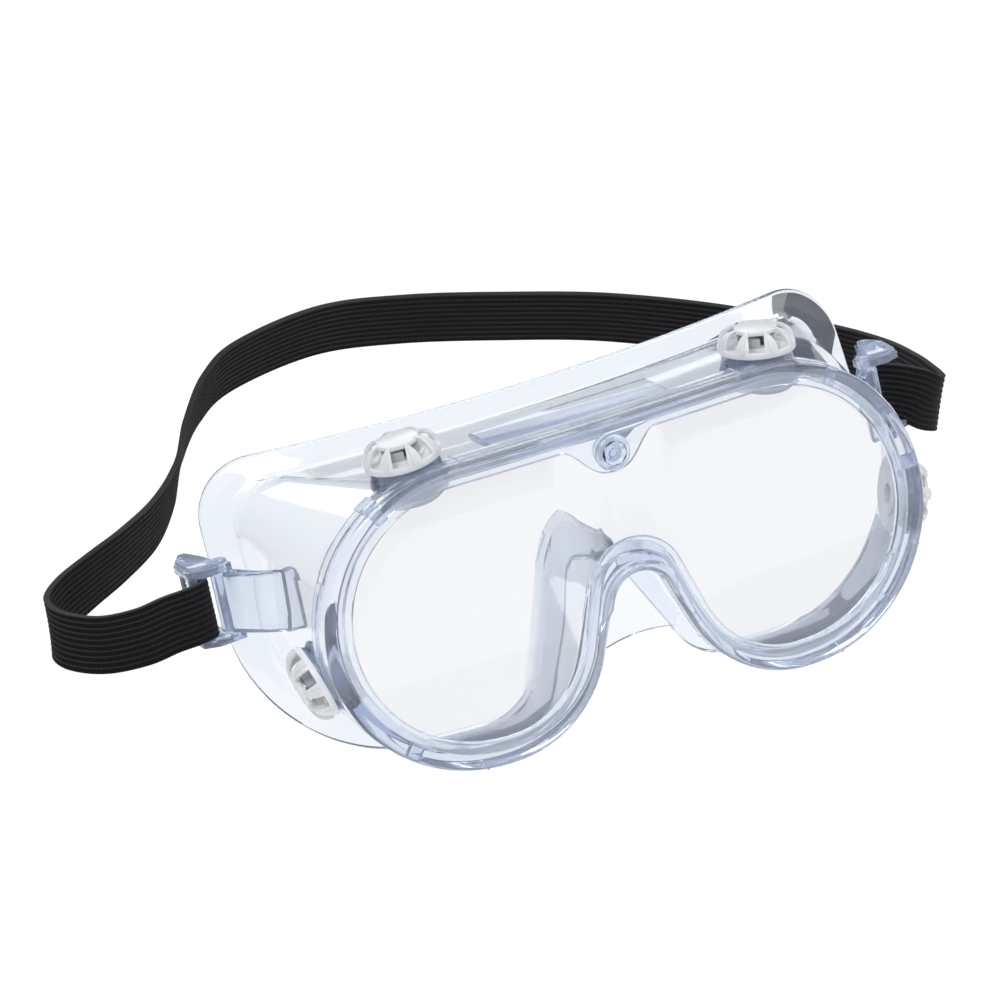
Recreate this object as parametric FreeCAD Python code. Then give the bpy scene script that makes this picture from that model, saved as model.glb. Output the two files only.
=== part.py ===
import FreeCAD, Part
import math
import os

# Chemical-splash safety goggles, millimetres.
# X runs across the face (+X is the right side seen from in front), the lens faces -Y,
# the wearer's face is on +Y and Z is up. Z = 0 is the surface that the goggles stand on,
# X = 0 is the middle of the nose and Y = 0 is the foremost line of the front lip.

os.makedirs("parts", exist_ok=True)
V = FreeCAD.Vector

# Front: each outline has an upper, a lower and a corner arc a side, and a nose arch.
# upper and lower are (x, z, radius), nose is (z, radius, flare in degrees)
FRONT_CURVE_R = 600.0        # radius of the front seen from above
RIM_OUTLINE = dict(upper=(42.0, 38.8, 37.6), lower=(42.0, 37.9, 37.9), corner=30.0, nose=(29.4, 7.9, 21.0))
OPENING = dict(upper=(40.5, 39.3, 31.8), lower=(40.5, 38.7, 31.9), corner=24.0, nose=(33.6, 12.4, 18.0))
LENS_OVERLAP = 3.5           # lens edge held inside the rim channel
RIM_DEPTH = 9.5
FRONT_LIP = 2.0              # thickness of the lip in front of the lens
LENS_SLOT = 2.2
LENS_THICK = 2.1
BACK_LIP = 2.2
BACK_LIP_SET = 1.2           # the lip behind the lens opens this much wider than the front lip

# Skirt and face flange
FLANGE_OUTLINE = dict(upper=(71.4, 61.5, 15.7), lower=(51.0, 37.0, 37.0), corner=14.0, nose=(24.0, 9.5, 26.0))
SKIRT_INSET = 3.0            # skirt lies this far inside the rim's outline
FLANGE_WIDTH = 6.0           # flange stands this far out from the skirt
FLANGE_THICK = 2.2
WALL = 1.8
SKIRT_END_Y = 66.0
FACE_Y = 41.2                # depth of the face line at the nose, 40 up
FACE_R = 245.0               # radius of the face line seen from above
FACE_LEAN = 14.0             # degrees that the face line leans back going up

# Web that closes the upper part of the nose arch
NOSE_WEB_Y = 5.5
NOSE_WEB_THICK = 1.6
NOSE_WEB_LOW_Z = 20.4
NOSE_WEB_R = 36.0            # radius of its lower edge

# Button that holds the front lip's tab to the lens
TAB_Z = 70.4
TAB_R = 7.4
BUTTON_Z = 68.2
BUTTON_HEAD_R = 4.6
BUTTON_SHANK_R = 2.2

# Indirect vents: cap outside, plug inside, on a round pedestal
CAP_R = 9.6
CAP_TOP_R = 4.7
CAP_HEIGHT = 5.6
CAP_WALL = 1.1
CAP_RIBS = 8
PEDESTAL_R = 8.6
STEM_R = 4.6
STEM_BORE_R = 2.4
PLUG_R = 9.0
PLUG_THICK = 1.6
SEAT_GAP = 0.3               # the frame is cut back this far round each cap and plug
VENTS = {
    "top": dict(at=(47.4, 14.8, 77.9), out=(0.10, -0.08, 0.99), depth=8.2),
    "side": dict(at=(78.6, 20.0, 29.5), out=(0.955, 0.11, -0.28), depth=4.6),
}

# Strap clips
PIVOT_X = 88.2
PIVOT_Y = 49.5
PIN_R = 1.2
BARREL_R = 2.7
CLIP_BOTTOM_Z = 36.8
CLIP_TOP_Z = 56.4
PLATE_THICK = 1.8
BARREL_GAP = 0.3             # between the lug and each plate
BAR_R = 1.3
CLIP_BARS = [(6.0, 4.4), (6.0, 10.8)]   # upright bars, measured from the pin

# Strap
STRAP_WIDTH = 14.5
STRAP_THICK = 1.4
STRAP_MID_Z = 46.6


def save(shape, name):
    solid = shape.removeSplitter()
    solid.exportStep("parts/" + name + ".step")
    box = solid.BoundBox
    print("%-22s %d solid  %8.0f mm3  valid %s  Z %.1f to %.1f" % (
        name, len(solid.Solids), solid.Volume, solid.isValid(), box.ZMin, box.ZMax))


def turn(direction, side):
    return V(direction[0] * side, direction[1], direction[2])


def inset(outline, amount):
    # the same outline moved inwards, which widens the nose arch
    ux, uz, ur = outline["upper"]
    lx, lz, lr = outline["lower"]
    nz, nr, flare = outline["nose"]
    return dict(upper=(ux, uz, ur - amount), lower=(lx, lz, lr - amount),
                corner=outline["corner"] - amount, nose=(nz, nr + amount, flare))


def outline_wire(outline, y):
    ux, uz, ur = outline["upper"]
    lx, lz, lr = outline["lower"]
    cr = outline["corner"]
    nz, nr, flare = outline["nose"]

    # side line, tangent to the upper and the lower circle
    gap = math.hypot(ux - lx, uz - lz)
    tilt = math.asin((lr - ur) / gap) - math.atan2(ux - lx, uz - lz)
    side_n = V(math.cos(tilt), 0, math.sin(tilt))
    upper_c = V(ux, y, uz)
    lower_c = V(lx, y, lz)
    side_top = upper_c + side_n * ur
    side_low = lower_c + side_n * lr

    # nose line, tangent to the nose arch
    nose_n = V(math.cos(math.radians(flare)), 0, math.sin(math.radians(flare)))
    nose_c = V(0, y, nz)
    nose_top = nose_c + nose_n * nr

    # corner circle, tangent to the bottom line and the nose line
    low = V(lx, y, lz - lr)
    corner_z = low.z + cr
    corner_x = nose_top.x + (cr - (corner_z - nose_top.z) * nose_n.z) / nose_n.x
    corner_c = V(corner_x, y, corner_z)
    corner_low = V(corner_x, y, low.z)
    nose_low = corner_c - nose_n * cr

    def arc(centre, radius, begin, end):
        middle = (begin - centre) + (end - centre)
        return Part.Arc(begin, centre + middle.normalize() * radius, end).toShape()

    top = V(ux, y, uz + ur)
    half = [
        Part.makeLine(V(0, y, top.z), top),
        arc(upper_c, ur, top, side_top),
        Part.makeLine(side_top, side_low),
        arc(lower_c, lr, side_low, low),
        Part.makeLine(low, corner_low),
        arc(corner_c, cr, corner_low, nose_low),
        Part.makeLine(nose_low, nose_top),
        arc(nose_c, nr, nose_top, V(0, y, nz + nr)),
    ]
    other = [edge.mirror(V(0, 0, 0), V(1, 0, 0)) for edge in reversed(half)]
    return Part.Wire(Part.__sortEdges__(half + other))


def outline_prism(outline, y_from=-10.0, y_to=120.0):
    face = Part.Face(outline_wire(outline, y_from))
    return face.extrude(V(0, y_to - y_from, 0))


def front_slab(y_from, y_to):
    # everything between two depths behind the curved front
    reach = 110.0

    def depth(x):
        return FRONT_CURVE_R - math.sqrt(FRONT_CURVE_R ** 2 - x ** 2)

    def line(y):
        ends = V(-reach, y + depth(reach), -20), V(reach, y + depth(reach), -20)
        return Part.Arc(ends[0], V(0, y, -20), ends[1]).toShape()

    near = line(y_from)
    far = line(y_to)
    sides = [Part.makeLine(V(x, y_from + depth(reach), -20), V(x, y_to + depth(reach), -20))
             for x in (-reach, reach)]
    wire = Part.Wire(Part.__sortEdges__([near, far] + sides))
    return Part.Face(wire).extrude(V(0, 0, 130))


def before_face(step):
    # everything in front of the leaning face line, or of a line this far in front of it
    reach = 110.0
    front_y = -100.0
    radius = FACE_R + step
    centre_y = FACE_Y + FACE_R
    edge_y = centre_y - math.sqrt(radius ** 2 - reach ** 2)
    arc = Part.Arc(V(-reach, edge_y, -60), V(0, centre_y - radius, -60), V(reach, edge_y, -60)).toShape()
    sides = [
        Part.makeLine(V(-reach, front_y, -60), V(-reach, edge_y, -60)),
        Part.makeLine(V(reach, front_y, -60), V(reach, edge_y, -60)),
        Part.makeLine(V(-reach, front_y, -60), V(reach, front_y, -60)),
    ]
    wire = Part.Wire(Part.__sortEdges__([arc] + sides))
    block = Part.Face(wire).extrude(V(0, 0, 220))
    block.rotate(V(0, FACE_Y, 40), V(1, 0, 0), -FACE_LEAN)
    return block


def skirt_loft(amount):
    # straight-sided tube from the rim to the flange, moved inwards by an amount
    front = outline_wire(inset(RIM_OUTLINE, SKIRT_INSET + amount), 0)
    back = outline_wire(inset(FLANGE_OUTLINE, FLANGE_WIDTH + amount), SKIRT_END_Y)
    return Part.makeLoft([front, back], True, True)


def vent_place(kind, side):
    vent = VENTS[kind]
    x, y, z = vent["at"]
    return V(x * side, y, z), turn(vent["out"], side).normalize(), vent["depth"]


def in_vent(shape, kind, side):
    # a shape drawn about +Z with the cap's seat at the origin, put where the vent is
    at, out, _ = vent_place(kind, side)
    placed = shape.copy()
    placed.Placement = FreeCAD.Placement(at, FreeCAD.Rotation(V(0, 0, 1), out))
    return placed


def lug():
    # wedge from the skirt to the barrel that the clip turns on, right side
    low = CLIP_BOTTOM_Z + PLATE_THICK + BARREL_GAP
    high = CLIP_TOP_Z - PLATE_THICK - BARREL_GAP
    points = [V(74, 36, low), V(80, 36, low), V(PIVOT_X + 1.6, PIVOT_Y - 2.2, low),
              V(PIVOT_X - 1.2, PIVOT_Y + 2.4, low), V(74, PIVOT_Y + 3, low)]
    wedge = Part.Face(Part.makePolygon(points + [points[0]])).extrude(V(0, 0, high - low))
    barrel = Part.makeCylinder(BARREL_R, high - low, V(PIVOT_X, PIVOT_Y, low))
    return wedge.fuse(barrel)


def nose_web():
    half = 16.0
    foot = NOSE_WEB_LOW_Z - NOSE_WEB_R + math.sqrt(NOSE_WEB_R ** 2 - half ** 2)
    top = 39.0
    y = NOSE_WEB_Y
    wire = Part.Wire([
        Part.Arc(V(-half, y, foot), V(0, y, NOSE_WEB_LOW_Z), V(half, y, foot)).toShape(),
        Part.makeLine(V(half, y, foot), V(half, y, top)),
        Part.makeLine(V(half, y, top), V(-half, y, top)),
        Part.makeLine(V(-half, y, top), V(-half, y, foot)),
    ])
    return Part.Face(wire).extrude(V(0, NOSE_WEB_THICK, 0))


def frame_body():
    rim = outline_prism(RIM_OUTLINE).common(front_slab(0, RIM_DEPTH))
    skirt = skirt_loft(0).common(before_face(0)).common(front_slab(FRONT_LIP, 200))
    flange = outline_prism(FLANGE_OUTLINE).common(before_face(0)).cut(before_face(FLANGE_THICK))
    shell = rim.fuse([skirt, flange])

    # raised panel moulded on the top of the skirt, and the lugs
    panel = Part.makeBox(48, 24, 6, V(-24, RIM_DEPTH, 68.5))
    lugs = [lug(), lug().mirror(V(0, 0, 0), V(1, 0, 0))]
    shell = shell.fuse([panel.common(before_face(4))] + lugs)

    # vent pedestals stand through the wall and are flat inside for the plugs
    back_lip = FRONT_LIP + LENS_SLOT
    cavity = skirt_loft(WALL).common(front_slab(back_lip + BACK_LIP, 200))
    for kind in VENTS:
        for side in (1, -1):
            depth = vent_place(kind, side)[2]
            pedestal = in_vent(Part.makeCylinder(PEDESTAL_R, depth, V(0, 0, -depth)), kind, side)
            shell = shell.fuse(pedestal)
            cavity = cavity.cut(pedestal)
    shell = shell.cut(cavity)
    shell = shell.fuse(nose_web().cut(skirt_loft(WALL)))

    # the tab that the button goes through hangs from the front lip
    opening = outline_prism(OPENING).common(front_slab(-5, FRONT_LIP))
    tab = Part.makeCylinder(TAB_R, 40, V(0, -10, TAB_Z), V(0, 1, 0))
    shell = shell.cut(opening.cut(tab))
    lens_slot = outline_prism(inset(OPENING, -LENS_OVERLAP)).common(front_slab(FRONT_LIP, back_lip))
    shell = shell.cut(lens_slot)
    behind = outline_prism(inset(OPENING, -BACK_LIP_SET)).common(front_slab(back_lip, back_lip + BACK_LIP))
    shell = shell.cut(behind)

    # holes for the button, the plugs' stems and the clips' pins
    shell = shell.cut(Part.makeCylinder(BUTTON_SHANK_R, 40, V(0, -10, BUTTON_Z), V(0, 1, 0)))
    for kind in VENTS:
        for side in (1, -1):
            depth = vent_place(kind, side)[2]
            hole = Part.makeCylinder(STEM_R, 30, V(0, 0, -20))
            cap_seat = Part.makeCylinder(CAP_R + SEAT_GAP, CAP_HEIGHT)
            plug_seat = Part.makeCylinder(PLUG_R + SEAT_GAP, PLUG_THICK + 1.0, V(0, 0, -depth - PLUG_THICK - 1.0))
            for cutter in (hole, cap_seat, plug_seat):
                shell = shell.cut(in_vent(cutter, kind, side))
    for side in (1, -1):
        shell = shell.cut(Part.makeCylinder(PIN_R, 60, V(side * PIVOT_X, PIVOT_Y, 20)))
    return shell


def lens():
    gap = (LENS_SLOT - LENS_THICK) / 2
    sheet = outline_prism(inset(OPENING, 0.1 - LENS_OVERLAP))
    sheet = sheet.common(front_slab(FRONT_LIP + gap, FRONT_LIP + gap + LENS_THICK))
    return sheet.cut(Part.makeCylinder(BUTTON_SHANK_R, 40, V(0, -10, BUTTON_Z), V(0, 1, 0)))


def lens_button():
    # domed head in front of the tab, shank through the tab and the lens
    shank_end = FRONT_LIP + LENS_SLOT + 2.0
    profile = [
        Part.makeLine(V(0, -1.7, 0), V(1.3, -1.7, 0)),
        Part.makeLine(V(1.3, -1.7, 0), V(1.3, -1.0, 0)),
        Part.makeLine(V(1.3, -1.0, 0), V(2.2, -1.0, 0)),
        Part.makeLine(V(2.2, -1.0, 0), V(2.9, -1.6, 0)),
        Part.Arc(V(2.9, -1.6, 0), V(4.1, -1.2, 0), V(BUTTON_HEAD_R, 0, 0)).toShape(),
        Part.makeLine(V(BUTTON_HEAD_R, 0, 0), V(BUTTON_SHANK_R - 0.02, 0, 0)),
        Part.makeLine(V(BUTTON_SHANK_R - 0.02, 0, 0), V(BUTTON_SHANK_R - 0.02, shank_end, 0)),
        Part.makeLine(V(BUTTON_SHANK_R - 0.02, shank_end, 0), V(0, shank_end, 0)),
        Part.makeLine(V(0, shank_end, 0), V(0, -1.7, 0)),
    ]
    turned = Part.Face(Part.Wire(profile)).revolve(V(0, 0, 0), V(0, 1, 0), 360)
    turned.translate(V(0, 0, BUTTON_Z))
    return turned


def button_washer():
    # push-on ring behind the lens
    start = FRONT_LIP + LENS_SLOT
    ring = Part.makeCylinder(4.0, 1.5, V(0, start, BUTTON_Z), V(0, 1, 0))
    ring = ring.cut(Part.makeCylinder(BUTTON_SHANK_R, 10, V(0, start - 2, BUTTON_Z), V(0, 1, 0)))
    return ring


def vent_cap():
    # domed cap with a flat top, open between its ribs
    foot = 1.5

    def dome(shrink, drop):
        r = CAP_R - shrink
        top_r = CAP_TOP_R - shrink * 0.4
        height = CAP_HEIGHT - shrink
        profile = [
            Part.makeLine(V(0, 0, drop), V(r, 0, drop)),
            Part.makeLine(V(r, 0, drop), V(r, 0, foot)),
            Part.Arc(V(r, 0, foot), V((r + top_r) / 2 + 1.1, 0, (foot + height) / 2 + 0.7),
                     V(top_r, 0, height)).toShape(),
            Part.makeLine(V(top_r, 0, height), V(0, 0, height)),
            Part.makeLine(V(0, 0, height), V(0, 0, drop)),
        ]
        return Part.Face(Part.Wire(profile)).revolve(V(0, 0, 0), V(0, 0, 1), 360)

    cap = dome(0, 0).cut(dome(CAP_WALL, -1))
    window = Part.makeBox(6, 3.9, 10, V(CAP_TOP_R + 0.5, -1.95, foot))
    for i in range(CAP_RIBS):
        opening = window.copy()
        opening.rotate(V(0, 0, 0), V(0, 0, 1), (i + 0.5) * 360.0 / CAP_RIBS)
        cap = cap.cut(opening)
    # collar that grips the plug's stem, and the web from it to the foot
    collar = Part.makeCylinder(STEM_R + 1.1, 1.4).cut(Part.makeCylinder(STEM_R, 5, V(0, 0, -1)))
    base = Part.makeCylinder(CAP_R - CAP_WALL, 0.7).cut(Part.makeCylinder(STEM_R, 5, V(0, 0, -1)))
    return cap.fuse([collar, base])


def vent_plug(depth):
    # washer inside the skirt with a hollow stem through the pedestal into the cap
    disc = Part.makeCylinder(PLUG_R, PLUG_THICK, V(0, 0, -depth - PLUG_THICK))
    disc = disc.makeChamfer(0.4, disc.Edges)
    step = Part.makeCylinder(5.0, 0.5, V(0, 0, -depth - PLUG_THICK - 0.5))
    stem = Part.makeCylinder(STEM_R - 0.02, depth + 3.6, V(0, 0, -depth))
    bore = Part.makeCylinder(STEM_BORE_R, 40, V(0, 0, -20))
    plug = disc.fuse([step, stem]).cut(bore)
    # cross slots at the stem's end let air out sideways under the cap
    for angle in (0, 90):
        slot = Part.makeBox(12, 1.6, 4, V(-6, -0.8, 1.6))
        slot.rotate(V(0, 0, 0), V(0, 0, 1), angle)
        plug = plug.cut(slot)
    return plug


def strap_clip():
    # right side: two plates that straddle the barrel, joined by upright bars
    offsets = [
        (-2.4, -2.6), (5.0, -3.4), (8.6, -1.4), (9.0, 8.0),
        (6.4, 13.4), (3.6, 13.8), (1.2, 6.4), (-2.4, 1.8),
    ]
    outline = [V(PIVOT_X + x, PIVOT_Y + y, 0) for x, y in offsets]
    plate = Part.Face(Part.makePolygon(outline + [outline[0]])).extrude(V(0, 0, PLATE_THICK))
    low = plate.copy()
    low.translate(V(0, 0, CLIP_BOTTOM_Z))
    high = plate.copy()
    high.translate(V(0, 0, CLIP_TOP_Z - PLATE_THICK))
    height = CLIP_TOP_Z - CLIP_BOTTOM_Z - 1.0
    bars = []
    for x, y in CLIP_BARS:
        bars.append(Part.makeCylinder(BAR_R, height, V(PIVOT_X + x, PIVOT_Y + y, CLIP_BOTTOM_Z + 0.5)))
    clip = low.fuse([high] + bars)
    return clip.cut(Part.makeCylinder(PIN_R + 0.05, 60, V(PIVOT_X, PIVOT_Y, 20)))


def clip_pin():
    # headed pin through the clip's plates and the lug's barrel
    length = CLIP_TOP_Z - CLIP_BOTTOM_Z
    pin = Part.makeCylinder(PIN_R - 0.02, length + 0.8, V(PIVOT_X, PIVOT_Y, CLIP_BOTTOM_Z - 0.6))
    head = Part.makeCylinder(2.1, 0.8, V(PIVOT_X, PIVOT_Y, CLIP_TOP_Z + 0.1))
    return pin.fuse(head)


def ribbon(route):
    # flat webbing along a smooth line, each point as x, y, z and the lean of its top edge in degrees
    curve = Part.BSplineCurve()
    curve.interpolate([V(x, y, z) for x, y, z, lean in route])
    places = [curve.parameter(V(x, y, z)) for x, y, z, lean in route]

    def section(at):
        i = max(n for n in range(len(route) - 1) if places[n] <= at + 1e-9)
        part = (at - places[i]) / (places[i + 1] - places[i])
        lean = math.radians(route[i][3] + (route[i + 1][3] - route[i][3]) * part)
        tangent = curve.tangent(at)[0]
        across = V(tangent.y, -tangent.x, 0).normalize()
        up = across.cross(tangent).normalize()
        if up.z < 0:
            up = up * -1
        flat = across * math.cos(lean) - up * math.sin(lean)
        return curve.value(at), flat, up * math.cos(lean) + across * math.sin(lean)

    first, last = curve.FirstParameter, curve.LastParameter
    count = 4 * len(route)
    sections = [section(first + (last - first) * i / count) for i in range(count + 1)]
    rails = []
    for side, up in ((-0.5, -0.5), (0.5, -0.5), (0.5, 0.5), (-0.5, 0.5)):
        rail = Part.BSplineCurve()
        rail.interpolate([p + a * side * STRAP_THICK + u * up * STRAP_WIDTH for p, a, u in sections])
        rails.append(rail.toShape())
    faces = [Part.makeRuledSurface(rails[i], rails[(i + 1) % 4]) for i in range(4)]
    for end in (0, -1):
        corners = [rail.Vertexes[end].Point for rail in rails]
        faces.append(Part.Face(Part.makePolygon(corners + [corners[0]])))
    shell = Part.makeShell(faces)
    shell.sewShape()
    solid = Part.Solid(shell)
    if solid.Volume < 0:
        solid.reverse()
    return solid


# Strap's route behind the head, from the left clip round to the right clip
STRAP_ROUTE = [
    (-104.1, 46.9, 45.8, 0), (-112.0, 47.0, 45.0, 0), (-121.5, 49.5, 45.4, 0), (-128.4, 55.0, 47.6, 2),
    (-129.5, 61.5, 50.2, 4), (-124.0, 68.0, 52.4, 8), (-113.5, 75.0, 54.2, 12), (-102.0, 82.5, 55.8, 16),
    (-90.0, 91.0, 58.6, 20), (-80.5, 99.5, 64.0, 26), (-73.0, 108.0, 72.0, 28), (-63.0, 117.5, 78.6, 27),
    (-50.0, 126.0, 81.8, 26), (-24.0, 135.5, 81.6, 25), (0.5, 139.0, 76.8, 25), (27.3, 139.0, 69.7, 24),
    (52.7, 135.5, 62.6, 22), (76.7, 127.5, 54.2, 16), (94.0, 116.0, 47.4, 10), (104.5, 103.0, 43.6, 4),
    (110.6, 87.0, 41.0, -2), (111.4, 70.0, 40.2, -7), (110.2, 57.0, 41.8, -7), (107.6, 49.6, 44.2, -3),
    (104.4, 47.1, 45.2, 0),
]


def strap_end():
    # right side: front ply, turn in the slot beside the barrel, return ply round the rear bar
    half = STRAP_THICK / 2
    low = STRAP_MID_Z - STRAP_WIDTH / 2
    offsets = [(14.2, -2.9), (9.8, -2.2), (6.2, -0.4), (3.9, 2.6), (3.8, 6.8), (3.8, 10.6), (5.0, 13.6)]
    centre = [V(PIVOT_X + x, PIVOT_Y + y, low) for x, y in offsets]
    curve = Part.BSplineCurve()
    curve.interpolate(centre)
    sides = []
    for sign in (-1, 1):
        points = []
        for i in range(13):
            at = curve.FirstParameter + (curve.LastParameter - curve.FirstParameter) * i / 12
            tangent = curve.tangent(at)[0]
            points.append(curve.value(at) + V(tangent.y, -tangent.x, 0).normalize() * sign * half)
        rail = Part.BSplineCurve()
        rail.interpolate(points)
        sides.append((rail.toShape(), points[0], points[-1]))
    wire = Part.Wire(Part.__sortEdges__([
        sides[0][0], Part.makeLine(sides[0][2], sides[1][2]),
        sides[1][0], Part.makeLine(sides[1][1], sides[0][1])]))
    return Part.Face(wire).extrude(V(0, 0, STRAP_WIDTH))


def mirrored(shape):
    return shape.mirror(V(0, 0, 0), V(1, 0, 0))


save(frame_body(), "frame_body")
save(lens(), "lens")
save(lens_button(), "lens_button")
save(button_washer(), "button_washer")
for kind in VENTS:
    for side, word in ((-1, "left"), (1, "right")):
        save(in_vent(vent_cap(), kind, side), "vent_cap_%s_%s" % (kind, word))
        save(in_vent(vent_plug(VENTS[kind]["depth"]), kind, side), "vent_plug_%s_%s" % (kind, word))
for word, place in (("left", mirrored), ("right", lambda shape: shape)):
    save(place(strap_clip()), "strap_clip_" + word)
    save(place(clip_pin()), "clip_pin_" + word)
    save(place(strap_end()), "strap_end_" + word)
save(ribbon(STRAP_ROUTE), "strap_main")
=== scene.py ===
import math
import bmesh
import bpy
from mathutils import Matrix, Vector


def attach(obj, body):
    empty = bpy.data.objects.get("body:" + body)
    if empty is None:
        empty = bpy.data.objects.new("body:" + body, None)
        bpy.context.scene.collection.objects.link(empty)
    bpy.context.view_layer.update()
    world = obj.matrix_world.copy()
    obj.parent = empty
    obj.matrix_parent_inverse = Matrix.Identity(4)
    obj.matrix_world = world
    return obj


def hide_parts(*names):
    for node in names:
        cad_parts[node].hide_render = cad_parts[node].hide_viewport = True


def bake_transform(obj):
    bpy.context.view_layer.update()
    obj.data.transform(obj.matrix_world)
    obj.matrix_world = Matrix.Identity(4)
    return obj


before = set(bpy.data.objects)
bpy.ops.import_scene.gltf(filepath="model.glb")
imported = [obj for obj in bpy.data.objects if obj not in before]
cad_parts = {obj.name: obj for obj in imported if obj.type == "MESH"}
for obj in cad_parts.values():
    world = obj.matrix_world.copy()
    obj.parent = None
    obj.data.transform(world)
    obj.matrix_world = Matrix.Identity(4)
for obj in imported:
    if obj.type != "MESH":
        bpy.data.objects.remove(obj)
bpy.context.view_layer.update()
mm = 0.001
crispAngle = 40  # degrees, edges sharper than this stay crisp
print("frame loaded")


# ---- shared mesh and node helpers

def newObject(name, verts, faces, closed=True):
    mesh = bpy.data.meshes.new(name)
    mesh.from_pydata([tuple(v) for v in verts], [], faces)
    obj = bpy.data.objects.new(name, mesh)
    bpy.context.scene.collection.objects.link(obj)
    if closed:
        turnOutwards(obj)
    return obj


def turnOutwards(obj):
    bm = bmesh.new()
    bm.from_mesh(obj.data)
    bmesh.ops.remove_doubles(bm, verts=bm.verts, dist=1e-6)
    bmesh.ops.recalc_face_normals(bm, faces=bm.faces)
    bm.to_mesh(obj.data)
    bm.free()


def smoothUnder(obj, degrees):
    obj.data.shade_smooth()
    obj.data.set_sharp_from_angle(angle=math.radians(degrees))


def bakeModifiers(obj):
    bpy.context.view_layer.update()
    graph = bpy.context.evaluated_depsgraph_get()
    mesh = bpy.data.meshes.new_from_object(obj.evaluated_get(graph))
    obj.modifiers.clear()
    obj.data = mesh


def roundEdges(obj, width, segments=2, degrees=38):
    bevel = obj.modifiers.new("edges", "BEVEL")
    bevel.width = width * mm
    bevel.segments = segments
    bevel.limit_method = "ANGLE"
    bevel.angle_limit = math.radians(degrees)
    bevel.use_clamp_overlap = True
    bakeModifiers(obj)
    smoothUnder(obj, crispAngle)


def dressedCopy(node, name, edge, material, body):
    # a CAD part's own shape, with its edges rounded
    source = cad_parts[node]
    obj = bpy.data.objects.new(name, source.data.copy())
    bpy.context.scene.collection.objects.link(obj)
    bm = bmesh.new()
    bm.from_mesh(obj.data)
    bmesh.ops.remove_doubles(bm, verts=bm.verts, dist=2e-6)
    bmesh.ops.dissolve_limit(bm, angle_limit=math.radians(1), verts=bm.verts, edges=bm.edges)
    bm.to_mesh(obj.data)
    bm.free()
    if edge:
        roundEdges(obj, edge)
    smoothUnder(obj, crispAngle)
    setMaterial(obj, material)
    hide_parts(node)
    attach(obj, body)
    return obj


def setMaterial(obj, material):
    obj.data.materials.clear()
    obj.data.materials.append(material)


def addNode(tree, kind, place=(0, 0), **values):
    node = tree.nodes.new(kind)
    node.location = place
    for key, value in values.items():
        if key in node.inputs:
            node.inputs[key].default_value = value
        else:
            setattr(node, key, value)
    return node


# ---- finishes

finishes = {  # depth and density colour thick plastic, clear is the share that is not hazy
    "pvc": dict(color=(0.93, 0.95, 0.975, 1), depth=(0.36, 0.47, 0.70, 1),
                density=44.0, clear=0.93, rough=0.03, ripple=0.10),
    "lens": dict(color=(0.88, 0.89, 0.905, 1), depth=(0.5, 0.55, 0.62, 1),
                 density=20.0, clear=0.95, rough=0.015, ripple=0.02),
    "clip": dict(color=(0.90, 0.93, 0.97, 1), depth=(0.34, 0.47, 0.70, 1),
                 density=95.0, clear=0.90, rough=0.06, ripple=0.12),
    "cap": dict(color=(0.97, 0.975, 0.98, 1.0), rough=0.38),
    # the plug's grey is painted shade: its colour is darkened to stand in for the shadow inside the frame
    # where it sits
    "plug": dict(color=(0.62, 0.635, 0.65, 1.0), rough=0.45),
    "strap": dict(base=(0.0045, 0.0045, 0.0048, 1.0), rib=(0.055, 0.055, 0.057, 1.0), ribSharpness=7.0,
                  yarnShare=0.10),
}


def clearPlastic(name, look):
    material = bpy.data.materials.new(name)
    material.use_nodes = True
    tree = material.node_tree
    link = tree.links.new
    skin = tree.nodes["Principled BSDF"]
    output = tree.nodes["Material Output"]
    skin.inputs["Base Color"].default_value = look["color"]
    skin.inputs["Transmission Weight"].default_value = look["clear"]
    skin.inputs["IOR"].default_value = 1.5
    place = addNode(tree, "ShaderNodeTexCoord", (-1100, 0))
    wave = addNode(tree, "ShaderNodeTexNoise", (-900, -200), Scale=55.0, Detail=2.0)
    link(place.outputs["Object"], wave.inputs["Vector"])
    bump = addNode(tree, "ShaderNodeBump", (-300, -200), Strength=look["ripple"], Distance=0.0006)
    link(wave.outputs["Fac"], bump.inputs["Height"])
    link(bump.outputs["Normal"], skin.inputs["Normal"])
    cloud = addNode(tree, "ShaderNodeTexNoise", (-900, 200), Scale=140.0, Detail=3.0)
    link(place.outputs["Object"], cloud.inputs["Vector"])
    spread = addNode(tree, "ShaderNodeMapRange", (-600, 200))
    spread.inputs["To Min"].default_value = look["rough"] * 0.6
    spread.inputs["To Max"].default_value = look["rough"] * 1.6
    link(cloud.outputs["Fac"], spread.inputs["Value"])
    link(spread.outputs["Result"], skin.inputs["Roughness"])
    # lamps shine through, as they do through thin clear plastic
    lampPath = addNode(tree, "ShaderNodeBsdfTransparent", (100, -400), Color=(0.95, 0.96, 0.975, 1))
    ray = addNode(tree, "ShaderNodeLightPath", (100, 400))
    mix = addNode(tree, "ShaderNodeMixShader", (400, 0))
    link(ray.outputs["Is Shadow Ray"], mix.inputs["Fac"])
    link(skin.outputs["BSDF"], mix.inputs[1])
    link(lampPath.outputs["BSDF"], mix.inputs[2])
    link(mix.outputs["Shader"], output.inputs["Surface"])
    depth = addNode(tree, "ShaderNodeVolumeAbsorption", (400, -260),
                    Color=look["depth"], Density=look["density"])
    link(depth.outputs["Volume"], output.inputs["Volume"])
    return material


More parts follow.
